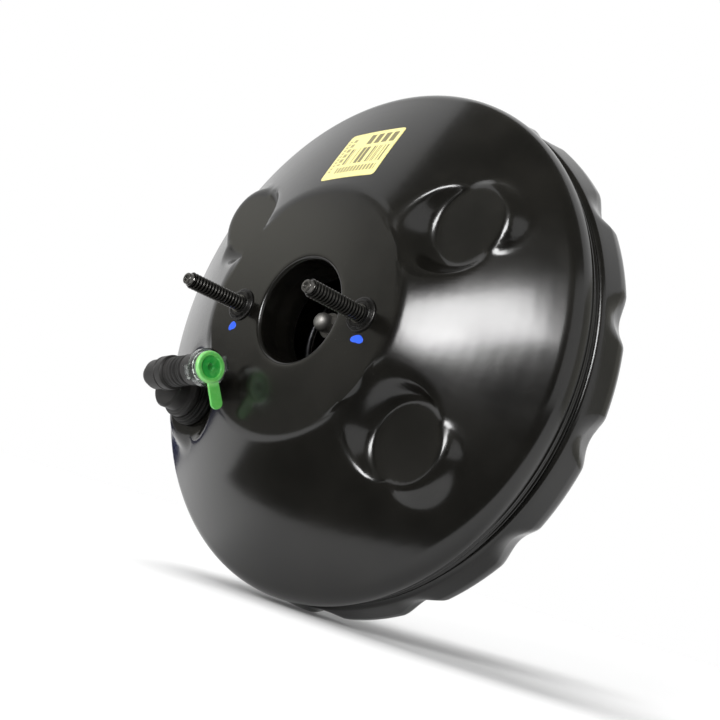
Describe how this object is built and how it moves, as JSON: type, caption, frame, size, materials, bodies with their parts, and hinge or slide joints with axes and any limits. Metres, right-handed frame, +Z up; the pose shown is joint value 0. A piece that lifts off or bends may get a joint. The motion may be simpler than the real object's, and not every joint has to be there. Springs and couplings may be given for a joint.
{
  "type": "vacuum brake booster",
  "caption": "Round vacuum brake booster with a domed front shell, master cylinder studs, a side check valve with a sealed outlet, a dust boot and a pedal clevis.",
  "frame": {"origin": "centre of the rear mounting face that bolts to the bulkhead, on the booster's axis", "axes": "-Y forward along the axis to the master cylinder side, +Y back to the pedal, +Z up, +X to the right seen from the master cylinder side"},
  "size_m": [0.2659, 0.272, 0.266],
  "materials": {
    "black_paint": "deep gloss black enamel over pressed steel",
    "zinc_steel": "zinc plated pressed steel",
    "black_steel": "black coated steel with a light oil sheen",
    "machined_steel": "turned steel",
    "polished_steel": "polished domed point",
    "spring_steel": "dark oiled spring wire",
    "black_rubber": "matt moulded rubber",
    "moulded_resin": "dark moulded resin",
    "black_plastic": "satin moulded nylon",
    "clear_plastic": "milky translucent nylon",
    "green_plastic": "soft green polyethylene",
    "filter_foam": "open foam"
  },
  "bodies": {
    "housing": {"front_shell": "black_paint", "rear_shell": "black_paint", "front_reinforcement": "zinc_steel", "rear_reinforcement": "zinc_steel", "master_cylinder_studs": "black_steel", "stud_collars": "black_steel", "firewall_studs": "black_steel", "guide_seal": "black_rubber", "seal_retainer": "zinc_steel", "dust_boot": "black_rubber", "check_valve_grommet": "black_rubber", "check_valve_body": "black_plastic", "check_valve_cap": "black_plastic", "vacuum_hose": "black_rubber", "quick_connector": "black_plastic", "connector_retainer": "clear_plastic"},
    "power_piston": {"valve_body": "moulded_resin", "diaphragm_plate": "zinc_steel", "diaphragm": "black_rubber", "diaphragm_retainer": "zinc_steel", "reaction_disc": "black_rubber", "output_rod": "machined_steel", "output_rod_tip": "polished_steel", "output_rod_retainer": "zinc_steel", "return_spring": "spring_steel", "stop_key": "zinc_steel", "poppet_seal": "black_rubber", "poppet_retainer": "zinc_steel", "poppet_spring": "spring_steel", "input_return_spring": "spring_steel", "air_filters": "filter_foam"},
    "plunger": {"plunger": "machined_steel"},
    "input_rod": {"input_rod": "machined_steel", "lock_nut": "zinc_steel", "clevis": "zinc_steel"},
    "check_valve_disc": {"check_valve_disc": "black_rubber", "check_valve_spring": "spring_steel"},
    "transit_plug": {"transit_plug": "green_plastic"}
  },
  "joints": [
    {"name": "piston_slide", "type": "slide", "parent": "housing", "child": "power_piston", "axis": [0, -1, 0], "range_m": [0, 0.032], "stiffness_N_per_m": 4000, "deforming": ["return_spring", "diaphragm", "dust_boot"]},
    {"name": "plunger_slide", "type": "slide", "parent": "power_piston", "child": "plunger", "axis": [0, -1, 0], "range_m": [0, 0.002], "stiffness_N_per_m": 3000, "deforming": ["input_return_spring"]},
    {"name": "input_rod_swing", "type": "hinge", "parent": "plunger", "child": "input_rod", "pos_m": [0, 0.0055, 0], "axis": [1, 0, 0], "range_deg": [-2.5, 2.5], "stiffness_Nm_per_rad": 15},
    {"name": "check_valve_slide", "type": "slide", "parent": "housing", "child": "check_valve_disc", "axis": [0, -1, 0], "range_m": [0, 0.002], "stiffness_N_per_m": 60, "deforming": ["check_valve_spring"]},
    {"name": "plug_slide", "type": "slide", "parent": "housing", "child": "transit_plug", "axis": [0.9823, -0.1248, 0.1395], "range_m": [0, 0.014]}
  ]
}
